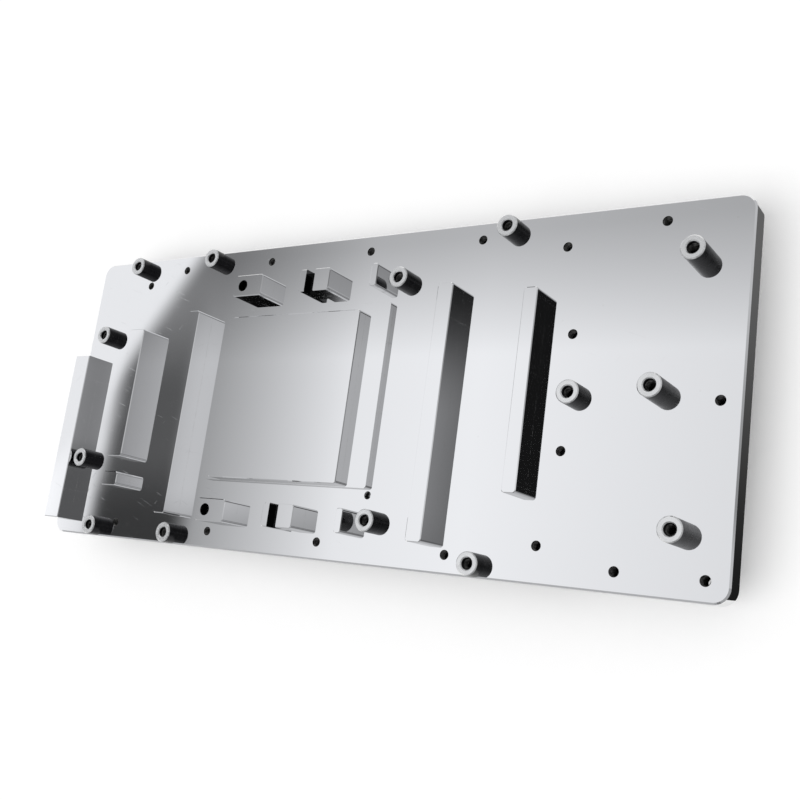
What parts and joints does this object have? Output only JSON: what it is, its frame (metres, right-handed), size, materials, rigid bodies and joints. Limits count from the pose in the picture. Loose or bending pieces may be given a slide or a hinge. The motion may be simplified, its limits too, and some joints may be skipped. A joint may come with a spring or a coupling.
{
  "type": "liquid cooling cold plate",
  "caption": "Nickel-plated full-cover cold plate for an accelerator card, with processor pad, memory islands, power bars, standoffs, back cover and coolant ports.",
  "frame": {"origin": "middle of the footprint, at the cover's back face, on which the plate lies", "axes": "+X along the plate towards its bare tail, +Y across the plate towards the upper edge in the picture, +Z out of the contact face"},
  "size_m": [0.264, 0.11, 0.0239],
  "materials": {
    "nickel_plated_copper": "mirror-polished nickel plating",
    "standoff_metal": "turned and blackened, end face bare",
    "black_acetal": "fine milled",
    "seal_rubber": "matt",
    "stainless_sheet": "rolled",
    "black_oxide_steel": "black oxide"
  },
  "bodies": {
    "root": {"back_cover": "black_acetal", "base_plate": "nickel_plated_copper", "cover_screw_front_inner_lower": "black_oxide_steel", "cover_screw_front_inner_upper": "black_oxide_steel", "cover_screw_front_upper": "black_oxide_steel", "cover_screw_inner_lower": "black_oxide_steel", "cover_screw_inner_upper": "black_oxide_steel", "cover_screw_lower_1": "black_oxide_steel", "cover_screw_lower_2": "black_oxide_steel", "cover_screw_lower_3": "black_oxide_steel", "cover_screw_lower_4": "black_oxide_steel", "cover_screw_tail_lower": "black_oxide_steel", "cover_screw_tail_upper": "black_oxide_steel", "cover_screw_upper_1": "black_oxide_steel", "cover_screw_upper_2": "black_oxide_steel", "cover_screw_upper_3": "black_oxide_steel", "cover_screw_upper_4": "black_oxide_steel", "cover_seal": "seal_rubber", "jet_plate": "stainless_sheet", "standoff_chip_lower": "standoff_metal", "standoff_chip_upper": "standoff_metal", "standoff_end_lower": "standoff_metal", "standoff_end_upper": "standoff_metal", "standoff_lower_1": "standoff_metal", "standoff_lower_2": "standoff_metal", "standoff_lower_3": "standoff_metal", "standoff_middle": "standoff_metal", "standoff_tail_centre": "standoff_metal", "standoff_tail_lower": "standoff_metal", "standoff_tail_upper": "standoff_metal", "standoff_upper_1": "standoff_metal", "standoff_upper_2": "standoff_metal", "standoff_upper_3": "standoff_metal"}
  },
  "joints": []
}
